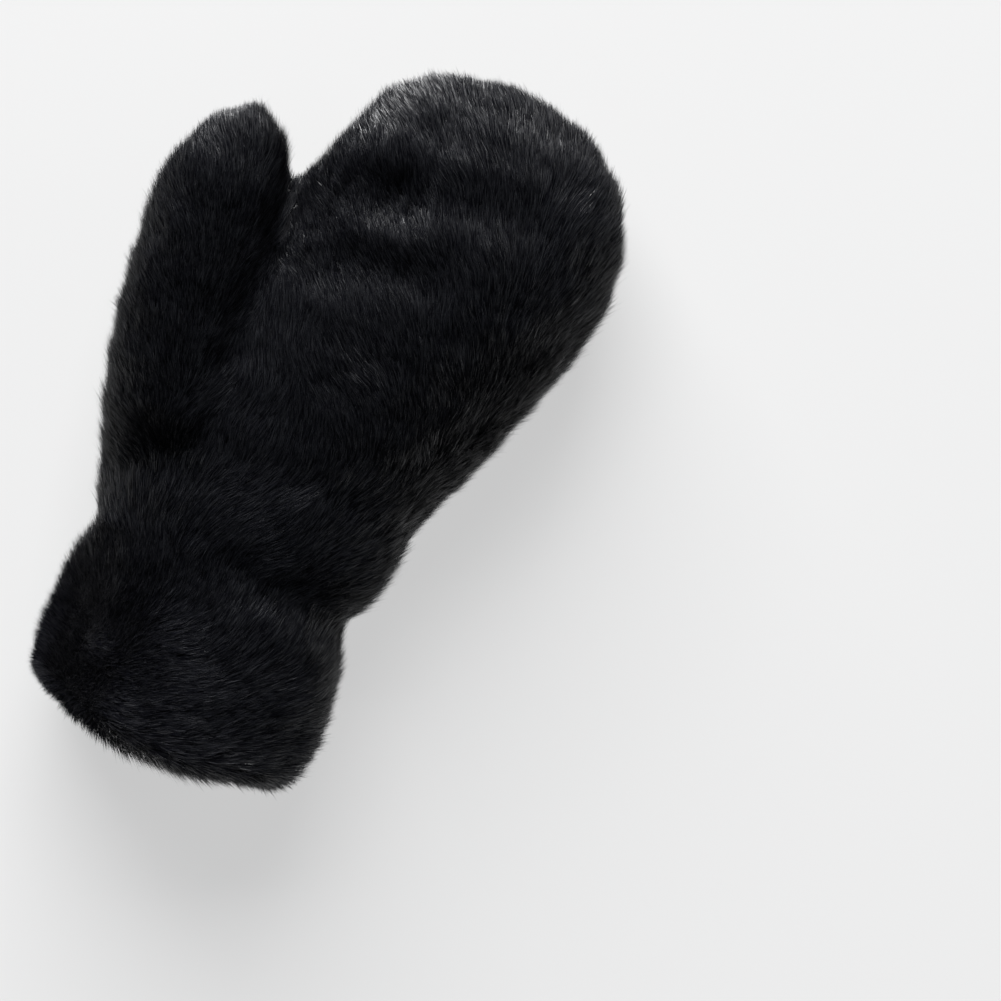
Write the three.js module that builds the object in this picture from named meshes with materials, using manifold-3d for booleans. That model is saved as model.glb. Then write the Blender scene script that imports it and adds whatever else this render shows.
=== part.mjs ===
// A fur mitten for the left hand, lying on the back of the hand with its palm up.
// Millimetres, +Z up. +Y runs from the cuff's hem to the fingertips, and the thumb lies on the -X side.
// The wrist seam is where the two hand panels meet the cuff. Widths and depths are taken over the fur.

import * as THREE from "three";
import { mergeVertices } from "three/addons/utils/BufferGeometryUtils.js";
import Module from "manifold-3d";

const wasm = await Module();
wasm.setup();

// Hand, from the wrist seam to the fingertips
const HAND_LENGTH = 212.5;
const HAND_WIDTH = 128;
const HAND_DEPTH = 80;
const HAND_LEAN = 31; // how far the fingertips lie to the side of the wrist
const FINGER_END = 86; // length of the rounded end over the fingers
const REST_FLAT = 5; // how far its own weight presses the back of the hand flat

// Wrist seam and cuff
const WRIST_WIDTH = 101;
const WRIST_DEPTH = 66;
const CUFF_LENGTH = 71.5;
const CUFF_WIDTH = 111;
const CUFF_DEPTH = 83;
const CUFF_LEAN = 3; // how far the cuff lies to the side of the wrist
const HEM_RISE = 14; // how much shorter the cuff is at its two sides than at its lowest place
const HEM_LOW = 0.1; // where the hem is lowest, as a share of the cuff's half width from its middle
const HEM_WALL = 15; // thickness of the rolled hem

// Thumb, measured along the hand
const THUMB_START = 12; // from the wrist seam to the root of the thumb
const THUMB_LENGTH = 154.5;
const THUMB_WIDTH = 49;
const THUMB_DEPTH = 50;
const THUMB_INSET = 22.5; // how far inside the hand's side the root of the thumb lies
const THUMB_SPREAD = 23; // how far the thumb leans out from its root
const THUMB_LIFT = 19; // how far the thumb rises from the middle of the hand towards the palm
const THUMB_END = 44; // length of the thumb's rounded end

// Fur
const WALL = 10; // hide and dense pile together
const LOCK_HEIGHT = 3; // how far the tip of a lock stands above its root
const LOCK_LENGTH = 17;
const LOCK_WIDTH = 11;
const LOCK_POINT = 3; // how far a lock's middle runs ahead of its edges
const LOCK_WANDER = 0.6; // how far a lock's tip may stray sideways, as a share of half its width
const LEAST_LOCK = 0.6; // height of the lowest lock, as a share of the highest
const FADE = 12; // distance over which locks die away towards a seam or the floor
const SEAM_GAP = 0.3;
const SIDE_SEAM_BELOW = 6; // how far the side seam lies below the middle of the hand
const SEAM_DIP = 1.5; // depth of the valley in the fur along the side seam

const MID_HEIGHT = HAND_DEPTH / 2 - REST_FLAT;
const SIDE_SEAM_HEIGHT = MID_HEIGHT - SIDE_SEAM_BELOW;
const THUMB_TIP = THUMB_START + THUMB_LENGTH;

// How finely the smooth faces are cut into flat ones
const HOLLOW_STEP = 17; // from ring to ring along a hollow
const HOLLOW_SIDE = 9; // from corner to corner round a hollow
const CUFF_STEP = 5.4; // from ring to ring along the cuff's outside
const HEM_TURNS = 6; // steps round the rolled hem
const LAST_STEP = 0.4; // how far short of its tip a hollow's last ring stays, as a share of a step
const LEAST_RADIUS = 0.01; // keeps the last ring of a rounded end open
const SAME_POINT = 1e-3; // corners nearer together than this are one

// Shares along the hand: width and depth run from the wrist's to the hand's, lean is a share of HAND_LEAN.
const HAND_SECTIONS = [
  { along: 0.0, width: 0.0, depth: 0.0, lean: 0.0 },
  { along: 0.045, width: 0.3, depth: 0.45, lean: 0.0 },
  { along: 0.11, width: 0.52, depth: 0.8, lean: 0.05 },
  { along: 0.19, width: 0.52, depth: 0.92, lean: 0.09 },
  { along: 0.27, width: 0.67, depth: 1.0, lean: 0.21 },
  { along: 0.42, width: 0.9, depth: 1.0, lean: 0.48 },
  { along: 0.6, width: 1.0, depth: 0.88, lean: 0.82 },
  { along: 0.8, width: 0.93, depth: 0.74, lean: 1.05 },
  { along: 1.0, width: 0.88, depth: 0.66, lean: 1.03 },
];

// Shares along the cuff, from the seam to the hem, in the same way.
const CUFF_SECTIONS = [
  { along: 0.0, width: 0.0, depth: 0.0, lean: 0.0 },
  { along: 0.08, width: 0.38, depth: 0.4, lean: 0.2 },
  { along: 0.22, width: 0.88, depth: 0.82, lean: 0.7 },
  { along: 0.5, width: 1.0, depth: 1.0, lean: 1.0 },
  { along: 1.0, width: 0.5, depth: 0.94, lean: 1.0 },
];

// Shares along the thumb of its width, depth, spread and lift.
const THUMB_SECTIONS = [
  { along: 0.0, width: 0.8, depth: 0.68, spread: 0.0, lift: 0.16 },
  { along: 0.06, width: 0.89, depth: 0.76, spread: 0.06, lift: 0.32 },
  { along: 0.12, width: 0.98, depth: 0.84, spread: 0.15, lift: 0.63 },
  { along: 0.21, width: 1.02, depth: 0.92, spread: 0.32, lift: 0.95 },
  { along: 0.31, width: 1.0, depth: 0.96, spread: 0.54, lift: 1.0 },
  { along: 0.45, width: 0.99, depth: 1.0, spread: 0.78, lift: 1.0 },
  { along: 0.62, width: 0.99, depth: 1.0, spread: 0.9, lift: 1.0 },
  { along: 0.78, width: 1.0, depth: 1.0, spread: 1.0, lift: 1.0 },
  { along: 1.0, width: 0.94, depth: 0.94, spread: 1.0, lift: 1.0 },
];

// Valleys pressed into the palm. across is a share of the hand's half width from its middle line, and along a
// share of its length. Each valley runs straight from one end to the other.
const PALM_FOLDS = [
  { fromAcross: -0.96, fromAlong: 0.65, toAcross: -0.33, toAlong: 0.73, depth: 8, reach: 9 },
  { fromAcross: -0.33, fromAlong: 0.73, toAcross: 0.3, toAlong: 0.77, depth: 4, reach: 10 },
  { fromAcross: -0.48, fromAlong: 0.575, toAcross: 0.1, toAlong: 0.615, depth: 5.5, reach: 8 },
  { fromAcross: -0.42, fromAlong: 0.82, toAcross: -0.3, toAlong: 0.88, depth: 2, reach: 8 },
  { fromAcross: -0.35, fromAlong: 0.15, toAcross: 0.6, toAlong: 0.22, depth: 1.5, reach: 9 },
];

const SQUARENESS = 2.35; // 2 is an ellipse, more is fuller at the corners
const FINGER_BLUNTNESS = 2.6; // the same for the rounded end seen from the palm
const THUMB_BLUNTNESS = 2;
const DEPTH_BLUNTNESS = 2.1; // the rounded ends seen from the side
const PALM_START = 0.7; // sine of the angle above the side at which the palm's valleys have their full depth

const FUR_FINISH = { color: 0x0d0d10, roughness: 0.85, metalness: 0 };

// A value from a table of sections, along a smooth curve through its rows.
function fromTable(table, name, along) {
  const last = table.length - 1;
  let row = 0;
  while (row < last - 1 && along > table[row + 1].along) row++;
  const [before, low, high, after] = [row - 1, row, row + 1, row + 2].map(
    (i) => table[THREE.MathUtils.clamp(i, 0, last)],
  );
  const span = high.along - low.along;
  const t = THREE.MathUtils.clamp((along - low.along) / span, 0, 1);
  const lowSlope = (span * (high[name] - before[name])) / (high.along - before.along);
  const highSlope = (span * (after[name] - low[name])) / (after.along - low.along);
  const rise = high[name] - low[name];
  const bend = lowSlope + highSlope - 2 * rise;
  return low[name] + t * (lowSlope + t * (3 * rise - 2 * lowSlope - highSlope + t * bend));
}

// Distance from the middle of a rounded section to its edge at an angle.
function sectionRadius(halfWidth, halfDepth, angle) {
  const wide = Math.abs(Math.cos(angle)) / Math.max(halfWidth, LEAST_RADIUS);
  const deep = Math.abs(Math.sin(angle)) / Math.max(halfDepth, LEAST_RADIUS);
  return (wide ** SQUARENESS + deep ** SQUARENESS) ** (-1 / SQUARENESS);
}

// How much of the full size is left at a place on a rounded end: 1 at its start, 0 at its tip.
function rounded(place, start, tip, bluntness) {
  const share = THREE.MathUtils.clamp((place - start) / (tip - start), 0, 1);
  return (1 - share ** bluntness) ** (1 / bluntness);
}

// Where a ring lies along a tube whose rings come closer together as its rounded end turns in.
function ringPlace(place, tip, roundFrom) {
  if (place <= roundFrom) return place;
  const turn = ((place - roundFrom) / (tip - roundFrom)) * (Math.PI / 2);
  return roundFrom + (tip - roundFrom) * Math.sin(turn);
}

function handCentre(y) {
  return HAND_LEAN * fromTable(HAND_SECTIONS, "lean", y / HAND_LENGTH);
}

function handWidth(y) {
  return WRIST_WIDTH + (HAND_WIDTH - WRIST_WIDTH) * fromTable(HAND_SECTIONS, "width", y / HAND_LENGTH);
}

function distanceToSegment(x, y, x0, y0, x1, y1) {
  const length = Math.hypot(x1 - x0, y1 - y0);
  const along = ((x - x0) * (x1 - x0) + (y - y0) * (y1 - y0)) / length ** 2;
  const t = THREE.MathUtils.clamp(along, 0, 1);
  return Math.hypot(x - x0 - t * (x1 - x0), y - y0 - t * (y1 - y0));
}

// How far the folds press the palm in at a point of it.
function palmFold(x, y) {
  let pressed = 0;
  for (const fold of PALM_FOLDS) {
    const [y0, y1] = [fold.fromAlong * HAND_LENGTH, fold.toAlong * HAND_LENGTH];
    const x0 = handCentre(y0) + (fold.fromAcross * HAND_WIDTH) / 2;
    const x1 = handCentre(y1) + (fold.toAcross * HAND_WIDTH) / 2;
    const away = distanceToSegment(x, y, x0, y0, x1, y1) / fold.reach;
    pressed += fold.depth * Math.exp(-(away ** 2));
  }
  return pressed;
}

// A point on the hand's skin, inset from the outside of the fur.
function handPoint(y, angle, inset) {
  const along = y / HAND_LENGTH;
  const [roundFrom, tip] = [HAND_LENGTH - FINGER_END, HAND_LENGTH - inset];
  const depth = WRIST_DEPTH + (HAND_DEPTH - WRIST_DEPTH) * fromTable(HAND_SECTIONS, "depth", along);
  const halfWidth = (handWidth(y) / 2 - inset) * rounded(y, roundFrom, tip, FINGER_BLUNTNESS);
  const halfDepth = (depth / 2 - inset) * rounded(y, roundFrom, tip, DEPTH_BLUNTNESS);
  const radius = sectionRadius(halfWidth, halfDepth, angle);
  const x = handCentre(y) + radius * Math.cos(angle);
  const palmSide = THREE.MathUtils.smoothstep(Math.sin(angle), 0, PALM_START);
  const z = MID_HEIGHT + radius * Math.sin(angle) - palmSide * palmFold(x, y);
  return new THREE.Vector3(x, y, Math.max(z, inset));
}

function thumbPoint(y, angle, inset) {
  const along = (y - THUMB_START) / THUMB_LENGTH;
  const [roundFrom, tip] = [THUMB_TIP - THUMB_END, THUMB_TIP - inset];
  const halfWidth = (THUMB_WIDTH / 2) * fromTable(THUMB_SECTIONS, "width", along) - inset;
  const halfDepth = (THUMB_DEPTH / 2) * fromTable(THUMB_SECTIONS, "depth", along) - inset;
  const radius = sectionRadius(
    halfWidth * rounded(y, roundFrom, tip, THUMB_BLUNTNESS),
    halfDepth * rounded(y, roundFrom, tip, DEPTH_BLUNTNESS),
    angle,
  );
  const root = handCentre(THUMB_START) - handWidth(THUMB_START) / 2 + THUMB_INSET;
  const x = root - THUMB_SPREAD * fromTable(THUMB_SECTIONS, "spread", along);
  const z = MID_HEIGHT + THUMB_LIFT * fromTable(THUMB_SECTIONS, "lift", along);
  return new THREE.Vector3(x + radius * Math.cos(angle), y, z + radius * Math.sin(angle));
}

// How far the hem has risen at a share of the cuff's half width, from its lowest place out to its corners.
function hemRise(share) {
  const reach = share > HEM_LOW ? 1 - HEM_LOW : 1 + HEM_LOW;
  return HEM_RISE * ((share - HEM_LOW) / reach) ** 2;
}

// A point of the cuff. down is the distance from the wrist seam on its way to the hem.
function cuffPoint(down, angle, inset) {
  const along = down / CUFF_LENGTH;
  const width = WRIST_WIDTH + (CUFF_WIDTH - WRIST_WIDTH) * fromTable(CUFF_SECTIONS, "width", along);
  const depth = WRIST_DEPTH + (CUFF_DEPTH - WRIST_DEPTH) * fromTable(CUFF_SECTIONS, "depth", along);
  const radius = sectionRadius(width / 2 - inset, depth / 2 - inset, angle);
  const across = radius * Math.cos(angle);
  const rise = along ** 2 * hemRise((2 * across) / width);
  const x = CUFF_LEAN * fromTable(CUFF_SECTIONS, "lean", along) + across;
  return new THREE.Vector3(x, rise - down, Math.max(MID_HEIGHT + radius * Math.sin(angle), inset));
}

// A repeatable number from 0 to 1 for each lock, so that no two are quite alike. These three scatter it well.
const SCATTER = { row: 127.1, column: 311.7, whole: 43758.5453 };

function chance(row, column) {
  const wave = Math.sin(row * SCATTER.row + column * SCATTER.column) * SCATTER.whole;
  return wave - Math.floor(wave);
}

// Each row of locks has three rings: behind the tips of the row before, half way up, and at its own tips.
// ridge and valley are shares of LOCK_HEIGHT. ahead is a share of LOCK_POINT, reversed between ridges.
const LOCK_RINGS = [
  { at: 0.1, ridge: 0.1, valley: 0.0, ahead: -1.0 },
  { at: 0.55, ridge: 0.7, valley: 0.1, ahead: 0.4 },
  { at: 0.96, ridge: 1.0, valley: 0.15, ahead: 1.0 },
];

// The rings of locks over a length: how far along each lies, and its row and form. Rows come in whole groups.
function lockRings(length, group) {
  const rows = Math.max(group, group * Math.round(length / LOCK_LENGTH / group));
  const pitch = length / rows;
  return Array.from({ length: rows }, (_, row) =>
    LOCK_RINGS.map((form) => ({ place: (row + form.at) * pitch, row, form })),
  ).flat();
}

// The way round a rounded section is this share of the way round the box that it fits in.
const GIRTH_SHARE = 0.8;

function girth(width, depth) {
  return GIRTH_SHARE * 2 * (width + depth);
}

// Two corners for each lock round a section, and an even number of locks, so that they meet in brick order.
function lockColumns(width, depth) {
  return 4 * Math.round(girth(width, depth) / LOCK_WIDTH / 2);
}

// One corner of a lock: its height, how far it runs ahead, and its columns aside. Rows lie in brick order.
function lockAt(ring, column) {
  const onRidge = (ring.row + column) % 2 === 0;
  const size = LEAST_LOCK + (1 - LEAST_LOCK) * chance(ring.row, column);
  const share = onRidge ? ring.form.ridge : ring.form.valley;
  const aside = onRidge ? ring.form.ridge * LOCK_WANDER * (chance(column, ring.row) - 0.5) : 0;
  const ahead = LOCK_POINT * ring.form.ahead * (onRidge ? 1 : -1);
  return { height: LOCK_HEIGHT * size * share, ahead, aside };
}

// Moves each corner of a lattice of rings outwards by height(ringIndex, column, point).
function raise(rings, height, looped) {
  const count = rings[0].length;
  const middle = new THREE.Vector3();
  return rings.map((ring, i) => {
    const before = rings[looped ? (i - 1 + rings.length) % rings.length : Math.max(i - 1, 0)];
    const after = rings[looped ? (i + 1) % rings.length : Math.min(i + 1, rings.length - 1)];
    return ring.map((point, j) => {
      const onward = new THREE.Vector3().subVectors(after[j], before[j]);
      const round = new THREE.Vector3().subVectors(ring[(j + 1) % count], ring[(j - 1 + count) % count]);
      const normal = middle.clone().crossVectors(round, onward).normalize();
      const raised = point.clone().addScaledVector(normal, height(i, j, point));
      raised.z = Math.max(raised.z, 0);
      return raised;
    });
  });
}

// A closed surface over rings of equally many points: a tube with its ends closed, or looped back on itself.
function skinOver(rings, looped) {
  const count = rings[0].length;
  const points = rings.flat();
  const faces = [];
  const at = (ring, column) => (ring % rings.length) * count + (column % count);
  for (let i = 0; i < rings.length - (looped ? 0 : 1); i++)
    for (let j = 0; j < count; j++) {
      faces.push(at(i, j), at(i, j + 1), at(i + 1, j));
      faces.push(at(i, j + 1), at(i + 1, j + 1), at(i + 1, j));
    }
  if (!looped)
    for (const [end, ring] of [[0, rings[0]], [rings.length - 1, rings.at(-1)]]) {
      const centre = points.length;
      points.push(ring.reduce((sum, p) => sum.add(p), new THREE.Vector3()).divideScalar(count));
      for (let j = 0; j < count; j++)
        faces.push(centre, ...(end ? [at(end, j), at(end, j + 1)] : [at(end, j + 1), at(end, j)]));
    }
  const geometry = new THREE.BufferGeometry().setFromPoints(points);
  return geometry.setIndex(faces);
}

function toSolid(geometry) {
  const bare = new THREE.BufferGeometry().setAttribute("position", geometry.getAttribute("position"));
  const merged = mergeVertices(bare.setIndex(geometry.index), SAME_POINT);
  const triVerts = new Uint32Array(merged.index.array);
  return new wasm.Manifold(
    new wasm.Mesh({ numProp: 3, vertProperties: merged.attributes.position.array, triVerts }),
  );
}

function toMesh(name, solid) {
  const { vertProperties, triVerts } = solid.getMesh();
  const geometry = new THREE.BufferGeometry();
  geometry.setAttribute("position", new THREE.BufferAttribute(vertProperties, 3));
  geometry.setIndex(new THREE.BufferAttribute(triVerts, 1));
  geometry.computeVertexNormals();
  const mesh = new THREE.Mesh(geometry, new THREE.MeshStandardMaterial(FUR_FINISH));
  mesh.name = name;
  return mesh;
}

// Everything above or below a height, as a block to keep one side of a piece.
function halfSpace(height, above) {
  const size = 4 * (HAND_LENGTH + CUFF_LENGTH);
  const block = new THREE.BoxGeometry(size, size, size);
  return toSolid(block.translate(0, 0, height + (above ? size : -size) / 2));
}

// A tube with a rounded end and locks on it. point(y, angle, inset) gives its surface without them.
function furTube(point, start, tip, roundFrom, columns, height) {
  const rings = lockRings(tip - start, 1);
  const lattice = rings.map((ring, i) =>
    Array.from({ length: columns }, (_, j) => {
      const { ahead, aside } = lockAt(ring, j);
      const atEnd = i === 0 || i === rings.length - 1;
      const place = ringPlace(start + ring.place + (atEnd ? 0 : ahead), tip, roundFrom);
      return point(i === 0 ? start : place, (-(j + aside) / columns) * 2 * Math.PI, 0);
    }),
  );
  return skinOver(raise(lattice, (i, j, p) => height(rings[i], j, p), false), false);
}

// A smooth hollow inside the walls of a tube of this width and depth, open past its start.
function hollow(point, start, tip, roundFrom, width, depth) {
  const rings = Math.round((tip - start) / HOLLOW_STEP);
  const columns = Math.round(girth(width - 2 * WALL, depth - 2 * WALL) / HOLLOW_SIDE);
  const lattice = Array.from({ length: rings }, (_, i) => {
    const share = i / (rings - 1 + LAST_STEP);
    const place = ringPlace(start + (tip - start) * share, tip, roundFrom);
    return Array.from({ length: columns }, (_, j) => point(place, (-j / columns) * 2 * Math.PI, WALL));
  });
  return toSolid(skinOver(lattice, false));
}

// How much of the locks' height is left at a point: none at the wrist seam, the side seam or the floor.
function handFade(p) {
  const seam = Math.abs(p.z - SIDE_SEAM_HEIGHT);
  const nearest = Math.min(p.y, p.z, seam);
  return THREE.MathUtils.smoothstep(nearest, 0, FADE);
}

function seamDip(p) {
  return SEAM_DIP * Math.exp(-(((p.z - SIDE_SEAM_HEIGHT) / (FADE / 2)) ** 2));
}

function handOuter(grow) {
  const columns = lockColumns(HAND_WIDTH, HAND_DEPTH);
  const height = (ring, j, p) => grow + lockAt(ring, j).height * handFade(p) - seamDip(p);
  return toSolid(
    furTube(handPoint, SEAM_GAP / 2, HAND_LENGTH, HAND_LENGTH - FINGER_END, columns, height),
  );
}

function thumbOuter() {
  const columns = lockColumns(THUMB_WIDTH, THUMB_DEPTH);
  const height = (ring, j) => lockAt(ring, j).height;
  return toSolid(furTube(thumbPoint, THUMB_START, THUMB_TIP, THUMB_TIP - THUMB_END, columns, height));
}

const handHollow = hollow(
  handPoint, -WALL, HAND_LENGTH - WALL, HAND_LENGTH - FINGER_END, HAND_WIDTH, HAND_DEPTH,
);
const thumbHollow = hollow(
  thumbPoint, THUMB_START, THUMB_TIP - WALL, THUMB_TIP - THUMB_END, THUMB_WIDTH, THUMB_DEPTH,
);

const handWall = handOuter(0).subtract(handHollow).subtract(thumbHollow);
const palmPanel = handWall.intersect(halfSpace(SIDE_SEAM_HEIGHT + SEAM_GAP / 2, true));
const backPanel = handWall.intersect(halfSpace(SIDE_SEAM_HEIGHT - SEAM_GAP / 2, false));
const thumb = thumbOuter().subtract(thumbHollow).subtract(handOuter(SEAM_GAP));

// The cuff's rings run from the seam over the outside, round the rolled hem and back up the inside.
function cuffPath() {
  const roll = HEM_WALL / 2;
  const seam = SEAM_GAP / 2;
  const straight = CUFF_LENGTH - roll - seam;
  const steps = Math.round(straight / CUFF_STEP);
  const outside = Array.from({ length: steps + 1 }, (_, i) => {
    const down = seam + (straight * i) / steps;
    return { down, inset: 0, locks: THREE.MathUtils.smoothstep(down, 0, FADE) };
  });
  const hem = Array.from({ length: HEM_TURNS - 1 }, (_, i) => {
    const turn = ((i + 1) * Math.PI) / HEM_TURNS;
    return {
      down: CUFF_LENGTH - roll + roll * Math.sin(turn),
      inset: roll - roll * Math.cos(turn),
      locks: Math.max(0, Math.cos(turn)),
    };
  });
  const inside = [1, 0.5, 0].map((share) => ({
    down: seam + share * straight,
    inset: WALL + (HEM_WALL - WALL) * share,
    locks: 0,
  }));
  return [...outside, ...hem, ...inside];
}

// The cuff's fur is laid across it, so its locks run round the wrist and lie side by side from seam to hem.
function cuffSolid() {
  const around = girth(CUFF_WIDTH, CUFF_DEPTH);
  const stations = lockRings(around, 2);
  const path = cuffPath();
  const lattice = path.map((step, i) =>
    stations.map((ring) => {
      const ahead = step.locks > 0 ? lockAt(ring, i).ahead : 0;
      return cuffPoint(step.down, ((ring.place + ahead) / around) * 2 * Math.PI, step.inset);
    }),
  );
  const height = (i, j, p) =>
    lockAt(stations[j], i).height * path[i].locks * THREE.MathUtils.smoothstep(p.z, 0, FADE);
  return toSolid(skinOver(raise(lattice, height, true), true));
}

const mitten = new THREE.Group();
mitten.add(
  toMesh("palm_panel", palmPanel),
  toMesh("back_panel", backPanel),
  toMesh("thumb", thumb),
  toMesh("cuff", cuffSolid()),
);

// The origin is on the floor, under the middle of the mitten.
const box = new THREE.Box3().setFromObject(mitten);
const centre = box.getCenter(new THREE.Vector3());
mitten.position.set(-centre.x, -centre.y, -box.min.z);

export default mitten;
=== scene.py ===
# %% [markdown]
# # A black plush fur mitten
#
# The mitten lies on its back on a pale table, palm up, with its thumb to the left. It is made of four
# sewn pieces: a palm panel, a back panel, a thumb and a wide rolled cuff. All of them are a fur fabric:
# a hide with a dense, short, shining pile on its outer side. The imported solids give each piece's shape
# and place, so the scene starts by loading them, and each fur piece is then grown where its solid
# stands.

# %% The frame
import math

import bmesh
import bpy
import numpy as np
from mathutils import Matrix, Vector
from mathutils.bvhtree import BVHTree


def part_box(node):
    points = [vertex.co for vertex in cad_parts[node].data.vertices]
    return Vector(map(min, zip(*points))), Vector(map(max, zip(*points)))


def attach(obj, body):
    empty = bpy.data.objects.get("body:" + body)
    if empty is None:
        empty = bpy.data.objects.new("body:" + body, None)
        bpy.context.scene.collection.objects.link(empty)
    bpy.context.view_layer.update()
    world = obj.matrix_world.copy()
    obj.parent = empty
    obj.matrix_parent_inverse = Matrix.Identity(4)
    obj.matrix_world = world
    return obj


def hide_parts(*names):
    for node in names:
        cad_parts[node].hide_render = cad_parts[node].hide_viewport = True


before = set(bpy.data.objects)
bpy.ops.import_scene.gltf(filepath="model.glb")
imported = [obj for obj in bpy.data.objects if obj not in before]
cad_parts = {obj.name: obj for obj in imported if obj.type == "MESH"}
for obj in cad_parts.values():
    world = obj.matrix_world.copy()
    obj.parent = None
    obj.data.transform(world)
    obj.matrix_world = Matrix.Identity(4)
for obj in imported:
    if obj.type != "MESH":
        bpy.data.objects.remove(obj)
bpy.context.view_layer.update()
MM = 0.001

# %% [markdown]
# ## The camera
#
# The mitten is seen from straight above, turned so that its fingertips point up and to the right. Such
# a picture is taken with a long lens from far off, which keeps the sides parallel. An orthographic
# camera would have no perspective at all, and a long lens keeps the little that a real picture has. The
# camera hangs over the table beside the mitten, because the picture leaves a wide empty space on the
# little finger's side.

# %% Camera
WRIST = np.array([-4.5 * MM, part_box("cuff")[1][1]])
PICTURE_WIDTH = 375.4 * MM
PICTURE_TURN = math.radians(24)
VIEW_CENTRE = WRIST + np.array([83.3, 69.7]) * MM
VIEW_HEIGHT = 2.6
OBJECT_HEIGHT = 45 * MM

camera_data = bpy.data.cameras.new("camera")
camera_data.sensor_width = 36
camera_data.lens = 36 * (VIEW_HEIGHT - OBJECT_HEIGHT) / PICTURE_WIDTH
camera = bpy.data.objects.new("camera", camera_data)
camera.location = (*VIEW_CENTRE, VIEW_HEIGHT)
camera.rotation_euler = (0, 0, PICTURE_TURN)
bpy.context.scene.collection.objects.link(camera)
bpy.context.scene.camera = camera
print("lens, mm:", round(camera_data.lens, 1))

# %% [markdown]
# ## The hide
#
# Under the fur the mitten is a soft hide. The solids have hard facets and locks in relief, so merged
# copies of them are joined, rebuilt as one even net of small squares, and smoothed. That gives one soft
# shell with the same folds and seams, as the sewn pieces make, and leaves the hollow for the hand open.
# Its outer side is then drawn in, because the pile stands on it and the tips of the pile reach the real
# outline.

# %% One net over the four solids
NET = 2.5 * MM


def link(name, mesh):
    """A new object in the scene with this mesh."""
    piece = bpy.data.objects.new(name, mesh)
    bpy.context.scene.collection.objects.link(piece)
    return piece


def settled_mesh(piece):
    """The piece's mesh with its modifiers worked in."""
    bpy.context.view_layer.update()
    return bpy.data.meshes.new_from_object(piece.evaluated_get(bpy.context.evaluated_depsgraph_get()))


bm = bmesh.new()
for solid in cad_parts.values():
    bm.from_mesh(solid.data)
bmesh.ops.remove_doubles(bm, verts=bm.verts, dist=0.01 * MM)
mesh = bpy.data.meshes.new("mitten_hide")
bm.to_mesh(mesh)
bm.free()
hide = link("mitten_hide", mesh)
net = hide.modifiers.new("net", "REMESH")
net.mode = "VOXEL"
net.voxel_size = NET
hide.data = settled_mesh(hide)
hide.modifiers.clear()
print("net:", len(hide.data.polygons), "faces")


# %% Which piece each place belongs to
def arrays(mesh):
    """The mesh's points, their normals and its triangles, as arrays."""
    points = np.empty(len(mesh.vertices) * 3)
    normals = np.empty(len(mesh.vertices) * 3)
    mesh.vertices.foreach_get("co", points)
    mesh.vertices.foreach_get("normal", normals)
    mesh.calc_loop_triangles()
    triangles = np.empty(len(mesh.loop_triangles) * 3, dtype=np.int32)
    mesh.loop_triangles.foreach_get("vertices", triangles)
    return points.reshape(-1, 3), normals.reshape(-1, 3), triangles.reshape(-1, 3)


def nearest_solid(points):
    """The name of the solid that each point lies nearest to."""
    names = sorted(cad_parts)
    trees = []
    for name in names:
        solid_points, _, solid_triangles = arrays(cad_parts[name].data)
        trees.append(BVHTree.FromPolygons(solid_points.tolist(), solid_triangles.tolist()))
    distances = [[tree.find_nearest(point)[3] for tree in trees] for point in points.tolist()]
    return np.array(names)[np.argmin(distances, axis=1)]


points, _, triangles = arrays(hide.data)
point_piece = nearest_solid(points)
print("points:", {name: int((point_piece == name).sum()) for name in sorted(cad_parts)})

# %% The lines through the middle of the hand and the thumb
# distance along from the wrist seam, place across from the wrist's middle, and height
HAND_LINE = np.array([
    [-73, 3, 35], [0, 0, 35], [40, 3, 35], [90, 16, 35], [128, 25, 35], [165, 29, 35],
]) * MM
THUMB_LINE = np.array([
    [12, -33, 38], [31, -37, 47], [45, -41, 53], [61, -46, 54], [83, -52, 54], [145, -57, 54],
]) * MM
LEAST_LENGTH = 1e-12  # a shorter vector has no way


def unit(vectors):
    """The vectors at a length of 1."""
    return vectors / np.maximum(np.linalg.norm(vectors, axis=1, keepdims=True), LEAST_LENGTH)


def outwardness(points, normals, piece):
    """How far each normal turns away from the middle of its piece: 1 on the outside, -1 in the hollow."""
    along = points[:, 1] - WRIST[1]
    middle = np.empty_like(points)
    for line, chosen in ((THUMB_LINE, piece == "thumb"), (HAND_LINE, piece != "thumb")):
        middle[chosen, 0] = WRIST[0] + np.interp(along[chosen], line[:, 0], line[:, 1])
        middle[chosen, 1] = WRIST[1] + np.minimum(along[chosen], line[-1, 0])
        middle[chosen, 2] = np.interp(along[chosen], line[:, 0], line[:, 2])
    return (unit(points - middle) * normals).sum(1)


print("lines end at", HAND_LINE[-1].tolist(), THUMB_LINE[-1].tolist())

# %% Smoothing and drawing in
DRAWN_IN = 4.8 * MM
HEM_KEPT = 0.6  # share of it that the hem's end is spared, where the pile lies along the edge
SEAM_KEPT = [0.7, 0.0]  # the same over the wrist seam, where the pile fills the valley at its left
SEAM_SIDES = [-15 * MM, 30 * MM]
SEAM_REACH = 8 * MM
HEM = WRIST[1] - 55 * MM  # past here the fur turns over the hem
EDGE_SHARPNESS = 2.5  # how quickly the fur's share falls away at the edge of the hollow
HEM_START = 0.5
HOLLOW_SIDE = -0.6  # outwardness below which the hem's inner side has no fur
TOP_SHARPNESS = 1.5
ROUNDS = 3  # of smoothing, before and after


def smooth(piece, times):
    """Softens every edge of the piece, a little each time."""
    all_ways = {"use_axis_" + axis: True for axis in "xyz"}
    bm = bmesh.new()
    bm.from_mesh(piece.data)
    for _ in range(times):
        bmesh.ops.smooth_vert(bm, verts=bm.verts, factor=0.5, **all_ways)
    bm.to_mesh(piece.data)
    bm.free()


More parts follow.
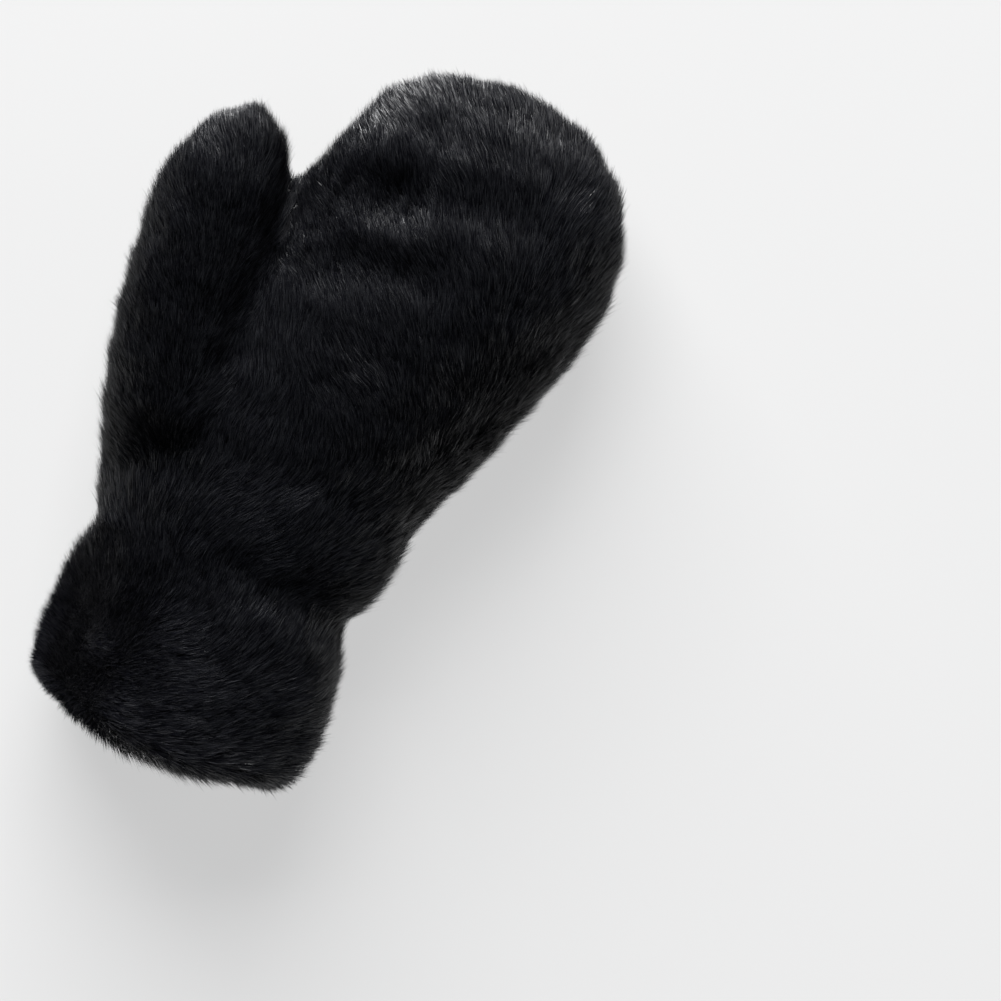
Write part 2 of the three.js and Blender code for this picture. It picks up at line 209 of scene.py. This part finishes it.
def outer_share(points, normals, piece):
    """1 where the fur grows, on the outside and over the hem, falling to 0 at the edge of the hollow."""
    outside = outwardness(points, normals, piece)
    over_hem = np.clip(-normals[:, 1] * EDGE_SHARPNESS - HEM_START, 0, 1) * (outside > HOLLOW_SIDE)
    hem = np.where(points[:, 1] < HEM, over_hem, 0)
    return np.maximum(np.clip(outside * EDGE_SHARPNESS, 0, 1), hem)


smooth(hide, ROUNDS)
points, normals, _ = arrays(hide.data)
spared = HEM_KEPT * np.where(points[:, 1] < HEM, np.clip(-normals[:, 1], 0, 1), 0)
at_seam = np.exp(-(((points[:, 1] - WRIST[1]) / SEAM_REACH) ** 2))
at_seam *= np.interp(points[:, 0] - WRIST[0], SEAM_SIDES, SEAM_KEPT)
spared = np.maximum(spared, at_seam * np.clip(normals[:, 2] * TOP_SHARPNESS, 0, 1))
points -= normals * (outer_share(points, normals, point_piece) * (1 - spared) * DRAWN_IN)[:, None]
hide.data.vertices.foreach_set("co", points.ravel())
hide.data.update()
smooth(hide, ROUNDS)
hide.data.polygons.foreach_set("use_smooth", [True] * len(hide.data.polygons))
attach(hide, "root")
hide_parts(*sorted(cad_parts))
print("hide:", [round(side, 3) for side in hide.dimensions])

# %% [markdown]
# ## Where the fur may grow
#
# Fur grows on the outer side and over the hem. The underside is pressed against the table and isn't
# seen, so it gets few strands, and the side that faces up gets the most. These shares could be painted
# by hand as weights, but worked out from each face's place and way they stay right when the solids
# change.

# %% Fur's share of each face
FLOOR_ZONE = 9 * MM
FACING_DOWN = -0.8
UNDER_SHARE = 0.12
EXTRA_ABOVE = 0.7  # how much more grows where the side faces up
FURRED_FROM = 0.5  # a face whose outer share is more than this is furred
points, normals, triangles = arrays(hide.data)
face_middle = points[triangles].mean(1)
face_normal = unit(normals[triangles].mean(1))
face_piece = point_piece[triangles[:, 0]]
growing = outer_share(face_middle, face_normal, face_piece) > FURRED_FROM
fur_share = growing * (1 + EXTRA_ABOVE * np.clip(face_normal[:, 2], 0, 1))
underneath = (face_middle[:, 2] < FLOOR_ZONE) & (face_normal[:, 2] < FACING_DOWN)
fur_share[growing & underneath] = UNDER_SHARE
print("furred faces:", int(growing.sum()), "of", len(growing))

# %% [markdown]
# ## The nap
#
# Fur lies in a nap: each strand leans the way the pile was brushed, and neighbours lean together. On
# this mitten it runs towards the fingertips and outwards over the edges, turns across the palm, and
# runs round the cuff. It could be combed by hand, but a short table of headings at a few places is
# easier to read and to change, and every strand takes a mix of the headings near it. Slow waves turn
# the headings a little, as no real nap is even. Where the pile stands up instead of lying down it looks
# darker, because less of its length is turned to the light, so the table and the cuff's left side also
# say how far it lies down.

# %% Nap headings
# x and y from the middle of the wrist seam and reach are in mm, the heading in degrees from +X to +Y.
# The pile lies down where lies is 1 or isn't given, and stands up more where it is less.
UPPER_NAP = [
    {"x": 28, "y": 205, "reach": 22, "heading": 118},
    {"x": 70, "y": 195, "reach": 22, "heading": 84},
    {"x": -15, "y": 190, "reach": 20, "heading": 131},
    {"x": 25, "y": 165, "reach": 24, "heading": 128},
    {"x": 80, "y": 150, "reach": 26, "heading": 92},
    {"x": -20, "y": 145, "reach": 18, "heading": 129, "lies": 0.45},
    {"x": 6, "y": 149, "reach": 14, "heading": 124, "lies": 0.6},
    {"x": 10, "y": 120, "reach": 22, "heading": 132, "lies": 0.8},
    {"x": 55, "y": 110, "reach": 26, "heading": 122},
    {"x": -10, "y": 85, "reach": 16, "heading": 100},
    {"x": 20, "y": 80, "reach": 22, "heading": 144},
    {"x": 60, "y": 70, "reach": 22, "heading": 104},
    {"x": -20, "y": 55, "reach": 16, "heading": 82},
    {"x": 25, "y": 45, "reach": 20, "heading": 78},
    {"x": -40, "y": 15, "reach": 16, "heading": 100},
    {"x": 0, "y": 18, "reach": 18, "heading": 54},
    {"x": 45, "y": 15, "reach": 18, "heading": 56},
    {"x": -45, "y": -10, "reach": 12, "heading": 140},
    {"x": 0, "y": -8, "reach": 14, "heading": 104},
    {"x": 45, "y": -10, "reach": 14, "heading": 72},
]
THUMB_NAP = [
    {"x": -57, "y": 168, "reach": 14, "heading": 114},
    {"x": -80, "y": 130, "reach": 18, "heading": 134, "lies": 0.75},
    {"x": -58, "y": 120, "reach": 16, "heading": 112, "lies": 0.75},
    {"x": -34, "y": 120, "reach": 16, "heading": 86},
    {"x": -76, "y": 80, "reach": 18, "heading": 128, "lies": 0.6},
    {"x": -50, "y": 75, "reach": 16, "heading": 108, "lies": 0.7},
    {"x": -28, "y": 70, "reach": 16, "heading": 84},
    {"x": -60, "y": 35, "reach": 16, "heading": 130},
    {"x": -30, "y": 38, "reach": 16, "heading": 96, "lies": 0.8},
]
# the cuff's turn from running round it, from left to right over its top, towards the fingertips
CUFF_NAP = [
    {"down": 0, "left": 100, "middle": 98, "right": 94},
    {"down": 14, "left": 66, "middle": 66, "right": 88},
    {"down": 30, "left": 16, "middle": 52, "right": 62},
    {"down": 50, "left": -14, "middle": 34, "right": 42},
    {"down": 71, "left": -16, "middle": 8, "right": 18},
]
print("rows:", len(UPPER_NAP), len(THUMB_NAP), len(CUFF_NAP))

# %% Slow waves
WAVE_COUNT = 7
WAVE_SIZES = (0.7, 1.5)  # shares of the size asked for
WAVE_SCALE = 2.6  # brings their sum to between about -1 and 1


def waves(points, size, seed):
    """A slow smooth wander between about -1 and 1 over the points, with waves of about that size."""
    rng = np.random.default_rng(seed)
    total = np.zeros(len(points))
    for _ in range(WAVE_COUNT):
        way = rng.normal(size=3)
        way /= np.linalg.norm(way)
        stretch = 2 * math.pi / (size * rng.uniform(*WAVE_SIZES))
        total += np.sin(points @ way * stretch + rng.uniform(0, 2 * math.pi))
    return total / WAVE_SCALE


SEED = {"hand": 5, "cuff": 6, "tufts": 7, "patches": 8, "length": 9}  # one for each use
print("a wave:", waves(np.linspace(0, 0.1, 5)[:, None] * np.ones(3), 30 * MM, 1).round(2).tolist())

# %% The nap round the cuff
WAVE_TURN = math.radians(11)
WAVE_SIZE = 22 * MM
CUFF_MIDDLE = np.array([3, 35]) * MM  # across from the wrist's middle, and up
SIDE_REACH = 0.85  # share of the way out to the cuff's side at which its side's turn is reached
# towards the left side the fur stands up more and more, in patches, and leans less and less
LEFT_WAY = np.array([-0.05, 0.38, 0])
UPRIGHT_START = 0.02
UPRIGHT_RISE = 0.8
UPRIGHT_PATCHES = 0.2
PATCH_SIZE = 18 * MM
MOST_UPRIGHT = 0.68


def cuff_nap(points):
    """The way the cuff's fur is brushed, which is round it and a little towards the hand."""
    across = points[:, 0] - WRIST[0] - CUFF_MIDDLE[0]
    up = points[:, 2] - CUFF_MIDDLE[1]
    reach = np.hypot(across, up)
    down = (WRIST[1] - points[:, 1]) / MM
    rows = [row["down"] for row in CUFF_NAP]
    left, middle, right = (
        np.interp(down, rows, [row[side] for row in CUFF_NAP]) for side in ("left", "middle", "right")
    )
    side = np.clip(across / reach / SIDE_REACH, -1, 1)
    turn = np.radians(middle + np.where(side < 0, (middle - left) * side, (right - middle) * side))
    turn += WAVE_TURN * waves(points, WAVE_SIZE, SEED["cuff"])
    ways = np.stack([up / reach * np.cos(turn), np.sin(turn), -across / reach * np.cos(turn)], 1)
    patches = UPRIGHT_PATCHES * waves(points, PATCH_SIZE, SEED["patches"])
    upright = np.clip(UPRIGHT_START - UPRIGHT_RISE * side + patches, 0, MOST_UPRIGHT)
    return ways + upright[:, None] * (LEFT_WAY - ways)


on_cuff = np.array([[WRIST[0], WRIST[1] - 40 * MM, 80 * MM]])
print("nap on top of the cuff:", cuff_nap(on_cuff).round(2).tolist())

# %% The nap anywhere
UNDER_HEADING = 95
UPPER_START = 0.5  # the table's headings hold on the upper side and are gone where it faces this far down
UPPER_FADE = 0.7
LEAST_NEAR = 1e-9  # so that a place far from every row still has a heading


def nap(node, points, normals):
    """The way the fur is brushed at each point, as vectors over the table, or round the cuff."""
    if node == "cuff":
        return cuff_nap(points)
    x = (points[:, 0] - WRIST[0]) / MM
    y = (points[:, 1] - WRIST[1]) / MM
    ways = np.zeros((len(points), 2))
    weight, lying = 0, 0
    for row in THUMB_NAP if node == "thumb" else UPPER_NAP:
        near = np.exp(-((x - row["x"]) ** 2 + (y - row["y"]) ** 2) / row["reach"] ** 2) + LEAST_NEAR
        turn = math.radians(row["heading"])
        ways += near[:, None] * np.array([math.cos(turn), math.sin(turn)])
        weight = weight + near
        lying = lying + near * row.get("lies", 1)
    angle = np.arctan2(ways[:, 1], ways[:, 0])
    upper = np.clip((normals[:, 2] + UPPER_START) / UPPER_FADE, 0, 1)
    under = math.radians(UNDER_HEADING)
    angle = under + upper * (angle - under) + WAVE_TURN * waves(points, WAVE_SIZE, SEED["hand"])
    ways = np.stack([np.cos(angle), np.sin(angle), np.zeros(len(angle))], 1)
    return ways * (lying / weight)[:, None]


at_wrist = nap("palm_panel", np.array([[*WRIST, 0.07]]), np.array([[0, 0, 1.0]]))
print("nap at the wrist:", at_wrist.round(2).tolist())

# %% [markdown]
# ## The strands
#
# The pile is very many fine hairs. A hair system would be quickest, but it isn't a mesh, so it wouldn't
# reach the library. Each hair here is a thin blade of two three-sided faces, widest at its middle and
# bent there: a shape this small needs no more. They are made all together as arrays. Each starts fairly
# upright and lies over along the nap, and its tip leans towards its tuft, because plush gathers into
# small tufts that catch the light as streaks.

# %% The size and the lean of a strand
STRAND_LENGTH = 10.5 * MM
LENGTHS = (0.72, 1.08)  # shares of it
LENGTH_WAVE = 0.12
LENGTH_WAVE_SIZE = 30 * MM
UPRIGHT_LENGTH = 0.5  # a strand that stands straight up is this much shorter
STRAND_WIDTH = 0.24 * MM
WIDTHS = (0.7, 1.3)
BEND_AT = 0.45  # share of a strand's length at which it bends
ROOT_LEAN = math.radians(44)  # above the hide, near the root
TIP_LEAN = math.radians(17)
LEAN_SCATTER = 0.1  # the scatters are in radians, or as shares of a strand's way
WAY_SCATTER = 0.09
ROLL = math.radians(24)
LEAST_HEIGHT = 0.3 * MM  # keeps strands out of the table
TONES = (0.1, 0.9)
rise = BEND_AT * math.sin(ROOT_LEAN) + (1 - BEND_AT) * math.sin(TIP_LEAN)
print("height of the pile above the hide, mm:", round(STRAND_LENGTH * rise / MM, 1))

# %% Tufts
TUFT = 2.2 * MM
TUFT_SHIFT = 2 * MM  # how far slow waves bend the rows of tufts
TUFT_BEND_SIZE = 9 * MM
TUFT_LENGTHS = (0.85, 1.15)
TUFT_TURN = 0.16
TUFT_PULL = 0.14
PULLS = (0.5, 1)
BEND_PULL = 0.4  # share of the pull that the bend gets
TUFT_TONE = 0.2  # share of a strand's tone that its tuft decides


def tufts(roots, seed):
    """For each strand, the number of the tuft that it belongs to."""
    bends = [waves(roots, TUFT_BEND_SIZE, seed + i) for i in range(3)]
    cells = np.floor((roots + np.stack(bends, 1) * TUFT_SHIFT) / TUFT).astype(np.int64)
    _, tuft = np.unique(cells, axis=0, return_inverse=True)
    return tuft.ravel()


def mean_of(values, group):
    """The mean of the values in each strand's group, for each strand."""
    size = np.bincount(group)
    columns = [(np.bincount(group, column) / size)[group] for column in values.T]
    return np.stack(columns, 1)


print("tufts among the face middles:", int(tufts(face_middle[growing], 1).max()) + 1)


# %% Roots
def rooted(share, count, rng):
    """Random roots on the furred faces, with their smooth normals."""
    a, b, c = (points[triangles[:, i]] for i in range(3))
    area = np.linalg.norm(np.cross(b - a, c - a), axis=1) / 2
    ladder = np.cumsum(area * share)
    face = np.searchsorted(ladder, rng.random(count) * ladder[-1])
    u, v = rng.random((2, count))
    over = u + v > 1
    u[over], v[over] = 1 - u[over], 1 - v[over]
    mix = np.stack([1 - u - v, u, v], 1)[:, :, None]
    corners = triangles[face]
    return (points[corners] * mix).sum(1), unit((normals[corners] * mix).sum(1))


root, root_facing = rooted(fur_share, 1, np.random.default_rng(0))
print("a root, mm:", (root / MM).round(1).tolist(), "facing", root_facing.round(2).tolist())

# %% Blades
# the corners of a blade are its root, its two sides at the bend and its tip, and these make its two faces
BLADE_FACES = np.array([0, 2, 1, 1, 2, 3])
MAP_LENGTHWISE = np.array([0, BEND_AT, BEND_AT, BEND_AT, BEND_AT, 1])
MAP_SPREAD = 0.01  # keeps a blade's map from being a line
MAP_SIDEWISE = np.array([0, 1, -1, -1, 1, 0]) * MAP_SPREAD


def blades(name, corners, tone):
    """A mesh of blades from their four corners each, with their length and tone as a map."""
    count = len(corners)
    mesh = bpy.data.meshes.new(name)
    mesh.vertices.add(count * 4)
    mesh.vertices.foreach_set("co", corners.ravel())
    loops = np.arange(count)[:, None] * 4 + BLADE_FACES
    mesh.loops.add(loops.size)
    mesh.loops.foreach_set("vertex_index", loops.ravel().astype(np.int32))
    mesh.polygons.add(count * 2)
    starts = np.arange(count)[:, None] * 6 + np.array([0, 3])
    mesh.polygons.foreach_set("loop_start", starts.ravel().astype(np.int32))
    mesh.update(calc_edges=True)
    strand_map = mesh.uv_layers.new(name="OFBake")
    values = np.stack([np.broadcast_to(MAP_LENGTHWISE, (count, 6)), tone[:, None] + MAP_SIDEWISE], 2)
    strand_map.data.foreach_set("uv", values.ravel().astype(np.float32))
    mesh.polygons.foreach_set("use_smooth", np.ones(count * 2, dtype=bool))
    mesh.validate()
    return link(name, mesh)


print("a blade's faces:", BLADE_FACES.reshape(2, 3).tolist())


# %% Growing one piece of fur
def between(ends, share):
    """The value that lies at a share of the way from the first end to the second."""
    return ends[0] + (ends[1] - ends[0]) * share


def grow(name, node, share, count, lift, seed):
    """A mesh of strands over the furred faces of a hide."""
    rng = np.random.default_rng(seed)
    roots, facing = rooted(share, count, rng)
    brushed = nap(node, roots, facing)
    brushed -= facing * (brushed * facing).sum(1, keepdims=True)
    lying = np.clip(np.linalg.norm(brushed, axis=1), 0, 1)
    brushed += rng.normal(scale=WAY_SCATTER, size=(count, 3))
    tuft = tufts(roots, seed)
    tuft_chance = np.random.default_rng(seed + SEED["tufts"]).random((tuft.max() + 1, 2))[tuft]
    brushed += TUFT_TURN * (tuft_chance[:, :1] - 0.5) * np.cross(facing, brushed)
    length = between(LENGTHS, rng.random(count))
    length += LENGTH_WAVE * waves(roots, LENGTH_WAVE_SIZE, SEED["length"])
    length *= STRAND_LENGTH * between(TUFT_LENGTHS, tuft_chance[:, 1])
    length *= between((UPRIGHT_LENGTH, 1), lying)
    lean = math.radians(lift) + rng.normal(scale=LEAN_SCATTER, size=count)
    first, second = (
        unit(brushed * np.cos(start + lean)[:, None] + facing * np.sin(start + lean)[:, None])
        for start in (ROOT_LEAN, TIP_LEAN)
    )
    bend = roots + first * (BEND_AT * length)[:, None]
    tip = bend + second * ((1 - BEND_AT) * length)[:, None]
    gathered = mean_of(tip, tuft)
    tip += TUFT_PULL * (gathered - tip) * between(PULLS, rng.random((count, 1)))
    bend += BEND_PULL * TUFT_PULL * (mean_of(bend, tuft) - bend)
    across = unit(np.cross(first, facing))
    roll = rng.uniform(-ROLL, ROLL, count)[:, None]
    across = across * np.cos(roll) + np.cross(first, across) * np.sin(roll)
    wide = across * (STRAND_WIDTH * between(WIDTHS, rng.random(count)) / 2)[:, None]
    corners = np.stack([roots, bend - wide, bend + wide, tip], 1)
    corners[:, :, 2] = np.maximum(corners[:, :, 2], LEAST_HEIGHT)
    tone = TUFT_TONE * tuft_chance[:, 0] + (1 - TUFT_TONE) * rng.random(count)
    return blades(name, corners, between(TONES, tone))


print("strands, mm long:", [round(STRAND_LENGTH * between(LENGTHS, end) / MM, 1) for end in (0, 1)])

# %% All the fur
# the palm's fur is two pieces, and lift is how many degrees further the strands stand up
PALM_SPLIT = WRIST[1] + 105 * MM
FUR = [
    {"name": "palm_fur_fingers", "node": "palm_panel", "count": 94000, "lift": 0, "seed": 11},
    {"name": "palm_fur_wrist", "node": "palm_panel", "count": 92000, "lift": 0, "seed": 12},
    {"name": "back_fur", "node": "back_panel", "count": 86000, "lift": 0, "seed": 13},
    {"name": "thumb_fur", "node": "thumb", "count": 92000, "lift": 0, "seed": 14},
    {"name": "cuff_fur", "node": "cuff", "count": 96000, "lift": 9, "seed": 15},
]
at_fingers = face_middle[:, 1] > PALM_SPLIT
furs = []
for row in FUR:
    faces = face_piece == row["node"]
    if row["node"] == "palm_panel":
        faces &= at_fingers if row["name"].endswith("fingers") else ~at_fingers
    fur = grow(row["name"], row["node"], fur_share * faces, row["count"], row["lift"], row["seed"])
    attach(fur, "root")
    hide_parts(row["node"])
    furs.append(fur)
    print(fur.name, row["count"], "strands")

# %% [markdown]
# ## The fur's finish
#
# The hairs are dyed black with a cool cast. Each is smooth, so it shines along its length where it
# turns to the light and is almost black everywhere else. A hair shader suits round strands, but the
# library reads only the ordinary one, and it shines well enough on flat blades. The colour lightens
# from root to tip and differs a little from hair to hair, read from the map that each blade carries.

# %% Fur material
def node_in(tree, kind, **settings):
    """A new node of this kind with these settings."""
    node = tree.nodes.new(kind)
    for name, value in settings.items():
        setattr(node, name, value)
    return node


def fur_finish():
    """Shining black hair, lighter at the tips."""
    material = bpy.data.materials.new("black_plush")
    material.use_nodes = True
    tree = material.node_tree
    shader = tree.nodes["Principled BSDF"]
    place = node_in(tree, "ShaderNodeUVMap", uv_map="OFBake")
    split = node_in(tree, "ShaderNodeSeparateXYZ")
    along = node_in(tree, "ShaderNodeValToRGB")
    along.color_ramp.elements[0].color = (0.0010, 0.0011, 0.0018, 1)
    along.color_ramp.elements[1].color = (0.0040, 0.0042, 0.0062, 1)
    tone = node_in(tree, "ShaderNodeMapRange")
    tone.inputs["To Min"].default_value = 0.45
    tone.inputs["To Max"].default_value = 1.6
    tinted = node_in(tree, "ShaderNodeVectorMath", operation="SCALE")
    tree.links.new(place.outputs["UV"], split.inputs[0])
    tree.links.new(split.outputs["X"], along.inputs[0])
    tree.links.new(split.outputs["Y"], tone.inputs["Value"])
    tree.links.new(along.outputs["Color"], tinted.inputs[0])
    tree.links.new(tone.outputs[0], tinted.inputs["Scale"])
    tree.links.new(tinted.outputs[0], shader.inputs["Base Color"])
    shine = node_in(tree, "ShaderNodeMapRange")
    shine.inputs["From Min"].default_value = 0.4
    shine.inputs["From Max"].default_value = 0.9
    shine.inputs["To Min"].default_value = 0.05
    shine.inputs["To Max"].default_value = 1.6
    tree.links.new(split.outputs["Y"], shine.inputs["Value"])
    tree.links.new(shine.outputs[0], shader.inputs["Specular IOR Level"])
    shader.inputs["Specular IOR Level"].default_value = 0.6
    shader.inputs["Roughness"].default_value = 0.42
    return material


black_plush = fur_finish()
for fur in furs:
    fur.data.materials.append(black_plush)
print(black_plush.name, "on", len(furs), "pieces of fur")

# %% [markdown]
# ## The hide's finish
#
# The inner side of the hide is the knitted backing that holds the pile. It shows only inside the cuff,
# in shadow, so knitting it stitch by stitch would be lost: a wave raises its ribs and noise mottles its
# black.

# %% Hide material
def hide_finish():
    """The knitted backing of the fur, seen only inside the mitten."""
    material = bpy.data.materials.new("black_backing")
    material.use_nodes = True
    tree = material.node_tree
    shader = tree.nodes["Principled BSDF"]
    place = node_in(tree, "ShaderNodeTexCoord")
    wale = node_in(tree, "ShaderNodeTexWave", wave_type="BANDS", bands_direction="X")
    wale.inputs["Scale"].default_value = 260
    wale.inputs["Distortion"].default_value = 1.5
    fuzz = node_in(tree, "ShaderNodeTexNoise")
    fuzz.inputs["Scale"].default_value = 900
    mixed = node_in(tree, "ShaderNodeMix", data_type="RGBA")
    mixed.inputs["A"].default_value = (0.003, 0.003, 0.0036, 1)
    mixed.inputs["B"].default_value = (0.012, 0.012, 0.014, 1)
    bump = node_in(tree, "ShaderNodeBump")
    bump.inputs["Strength"].default_value = 0.5
    bump.inputs["Distance"].default_value = 0.3 * MM
    tree.links.new(place.outputs["Object"], wale.inputs["Vector"])
    tree.links.new(place.outputs["Object"], fuzz.inputs["Vector"])
    tree.links.new(fuzz.outputs["Fac"], mixed.inputs["Factor"])
    tree.links.new(mixed.outputs["Result"], shader.inputs["Base Color"])
    tree.links.new(wale.outputs["Fac"], bump.inputs["Height"])
    tree.links.new(bump.outputs["Normal"], shader.inputs["Normal"])
    shader.inputs["Roughness"].default_value = 0.9
    shader.inputs["Specular IOR Level"].default_value = 0.1
    return material


black_backing = hide_finish()
hide.data.materials.clear()
hide.data.materials.append(black_backing)
print(black_backing.name, "on the hide")

# %% [markdown]
# ## The table and the light
#
# A plain pale table fills the picture. It glows softly, as a light table does, so the mitten's shadow
# stays faint. Brighter light from all round would soften the shadow too, but would grey the black fur.
# Two broad lamps stand beyond the fingertips, one low and one higher: their light slides over the palm
# and shines on the fur where the surface turns down to meet it. A weak third lamp stands on the little
# finger's side.

# %% Table
TABLE_REACH = 3.0
bm = bmesh.new()
bmesh.ops.create_grid(bm, x_segments=2, y_segments=2, size=TABLE_REACH)
table_mesh = bpy.data.meshes.new("table")
bm.to_mesh(table_mesh)
bm.free()
table = link("table", table_mesh)
table_finish = bpy.data.materials.new("pale_table")
table_finish.use_nodes = True
table_shader = table_finish.node_tree.nodes["Principled BSDF"]
table_shader.inputs["Base Color"].default_value = (0.12, 0.12, 0.12, 1)
table_shader.inputs["Emission Color"].default_value = (1, 1, 1, 1)
table_shader.inputs["Emission Strength"].default_value = 0.56
table_shader.inputs["Roughness"].default_value = 0.8
table_shader.inputs["Specular IOR Level"].default_value = 0.1
table.data.materials.append(table_finish)
print("table", table.dimensions.to_tuple(1))

# %% Light
world = bpy.data.worlds.new("studio")
bpy.context.scene.world = world
world.use_nodes = True
world.node_tree.nodes["Background"].inputs["Color"].default_value = (0.78, 0.87, 1, 1)
world.node_tree.nodes["Background"].inputs["Strength"].default_value = 0.13


def lamp(name, picture_way, height, distance, size, watts):
    """A broad lamp aimed at the mitten, at a bearing in the picture in degrees from its right."""
    data = bpy.data.lights.new(name, "AREA")
    data.shape = "RECTANGLE"
    data.size, data.size_y = size
    data.energy = watts
    bearing = math.radians(picture_way) + PICTURE_TURN
    rise = math.radians(height)
    way = Vector((math.cos(bearing) * math.cos(rise), math.sin(bearing) * math.cos(rise), math.sin(rise)))
    holder = bpy.data.objects.new(name, data)
    holder.location = Vector((0, 0, OBJECT_HEIGHT)) + way * distance
    holder.rotation_euler = way.to_track_quat("Z", "Y").to_euler()
    bpy.context.scene.collection.objects.link(holder)


lamp("top", picture_way=97, height=20, distance=4.5, size=(4.2, 1.6), watts=690)
lamp("high", picture_way=95, height=46, distance=5.0, size=(4.0, 2.4), watts=530)
lamp("right", picture_way=5, height=20, distance=4.5, size=(2.0, 1.2), watts=40)
bpy.context.scene.view_settings.view_transform = "Standard"
